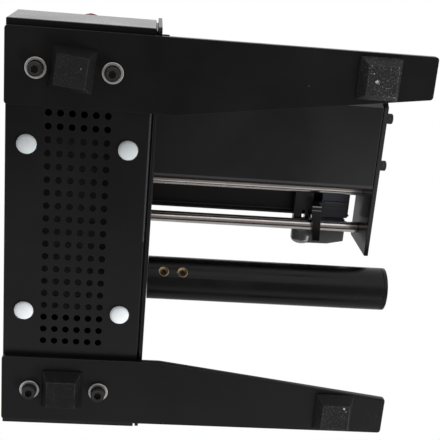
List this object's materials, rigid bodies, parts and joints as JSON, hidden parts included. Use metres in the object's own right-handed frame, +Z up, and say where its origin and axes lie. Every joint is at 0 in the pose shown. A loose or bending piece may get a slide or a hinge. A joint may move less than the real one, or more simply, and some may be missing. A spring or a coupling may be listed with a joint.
{
  "type": "label dispenser",
  "caption": "Desk label dispenser: narrow sloped housing on tapered feet, with a label table, guide rods, sliding forked sensor, driven take-up tube and braked supply spindle.",
  "frame": {"origin": "middle of the bounding box at the desk, under the rubber pads", "axes": "+X across the machine from the housing to the free side, +Y from the control panel to the rear, +Z up"},
  "size_m": [0.2518, 0.2608, 0.235],
  "materials": {
    "black_paint": "semi-gloss black powder coat",
    "black_steel": "blackened steel",
    "bright_steel": "bright zinc plated",
    "rubber": "matt, scuffed",
    "nylon": "smooth white nylon",
    "circuit_board": "green solder mask",
    "aluminium": "satin",
    "black_plastic": "moulded, light sheen",
    "grey_plastic": "moulded grey",
    "brass": "turned",
    "chrome": "polished, plated",
    "red_plastic": "gloss red",
    "window": "dark red tinted"
  },
  "bodies": {
    "frame": {"front_foot": "black_paint", "front_root_pad": "rubber", "front_tip_pad": "rubber", "front_foot_washer_1": "bright_steel", "front_foot_bolt_1": "black_steel", "front_foot_washer_2": "bright_steel", "front_foot_bolt_2": "black_steel", "rear_foot": "black_paint", "rear_root_pad": "rubber", "rear_tip_pad": "rubber", "rear_foot_washer_1": "bright_steel", "rear_foot_bolt_1": "black_steel", "rear_foot_washer_2": "bright_steel", "rear_foot_bolt_2": "black_steel", "base_plate": "black_paint", "board_pillar_1": "nylon", "board_pillar_2": "nylon", "board_pillar_3": "nylon", "board_pillar_4": "nylon", "control_board": "circuit_board", "power_supply": "aluminium", "housing_cover": "black_paint", "left_panel": "black_paint", "rear_panel": "black_paint", "power_inlet": "black_plastic", "side_plate": "black_paint", "gear_motor": "grey_plastic", "spindle_bearing": "black_plastic", "label_table": "black_paint", "table_stiffener": "aluminium", "end_plate": "black_paint", "end_plate_screw_1": "black_steel", "side_plate_screw_1": "black_steel", "end_plate_screw_2": "black_steel", "side_plate_screw_2": "black_steel", "front_guide_rod": "chrome", "rear_guide_rod": "chrome", "guide_bar": "chrome", "power_switch_body": "black_plastic", "panel_board": "circuit_board", "display_window": "window"},
    "take_up": {"take_up_tube": "black_paint", "take_up_hub": "aluminium", "take_up_shaft": "bright_steel", "take_up_cap": "black_plastic", "take_up_set_screw_1": "brass", "take_up_set_screw_2": "brass"},
    "supply": {"supply_spindle": "aluminium", "brake_nut": "brass", "brake_spring": "bright_steel", "inner_roll_disc": "black_plastic"},
    "outer_disc": {"outer_roll_disc": "black_plastic", "disc_thumb_screw": "black_plastic"},
    "guide": {"label_guide": "black_plastic"},
    "sensor": {"sensor_holder": "black_plastic", "sensor_fork": "black_plastic"},
    "knob": {"speed_knob": "black_plastic"},
    "rocker": {"power_rocker": "red_plastic"},
    "feed_button": {"button_1": "grey_plastic"},
    "reset_button": {"button_2": "grey_plastic"}
  },
  "joints": [
    {"name": "take_up_turn", "type": "hinge", "parent": "frame", "child": "take_up", "pos_m": [-0.0298, 0.0413, 0.059], "axis": [1, 0, 0], "continuous": true},
    {"name": "supply_turn", "type": "hinge", "parent": "frame", "child": "supply", "pos_m": [0.0175, -0.0081, 0.205], "axis": [1, 0, 0], "continuous": true},
    {"name": "outer_disc_slide", "type": "slide", "parent": "supply", "child": "outer_disc", "axis": [1, 0, 0], "range_m": [-0.094, 0.005]},
    {"name": "guide_slide", "type": "slide", "parent": "frame", "child": "guide", "axis": [1, 0, 0], "range_m": [-0.112, 0.018]},
    {"name": "sensor_slide", "type": "slide", "parent": "frame", "child": "sensor", "axis": [1, 0, 0], "range_m": [-0.1, 0.005]},
    {"name": "knob_turn", "type": "hinge", "parent": "frame", "child": "knob", "pos_m": [-0.0833, -0.08442, 0.13938], "axis": [0, -0.8712, 0.4909], "range_deg": [-135, 135]},
    {"name": "rocker_tilt", "type": "hinge", "parent": "frame", "child": "rocker", "pos_m": [-0.08205, -0.11874, 0.07604], "axis": [1, 0, 0], "range_deg": [0, 10]},
    {"name": "feed_press", "type": "slide", "parent": "frame", "child": "feed_button", "axis": [0, 0.8712, -0.4909], "range_m": [0, 0.0018], "stiffness_N_per_m": 300, "springref_m": -0.001},
    {"name": "reset_press", "type": "slide", "parent": "frame", "child": "reset_button", "axis": [0, 0.8712, -0.4909], "range_m": [0, 0.0018], "stiffness_N_per_m": 300, "springref_m": -0.001}
  ]
}
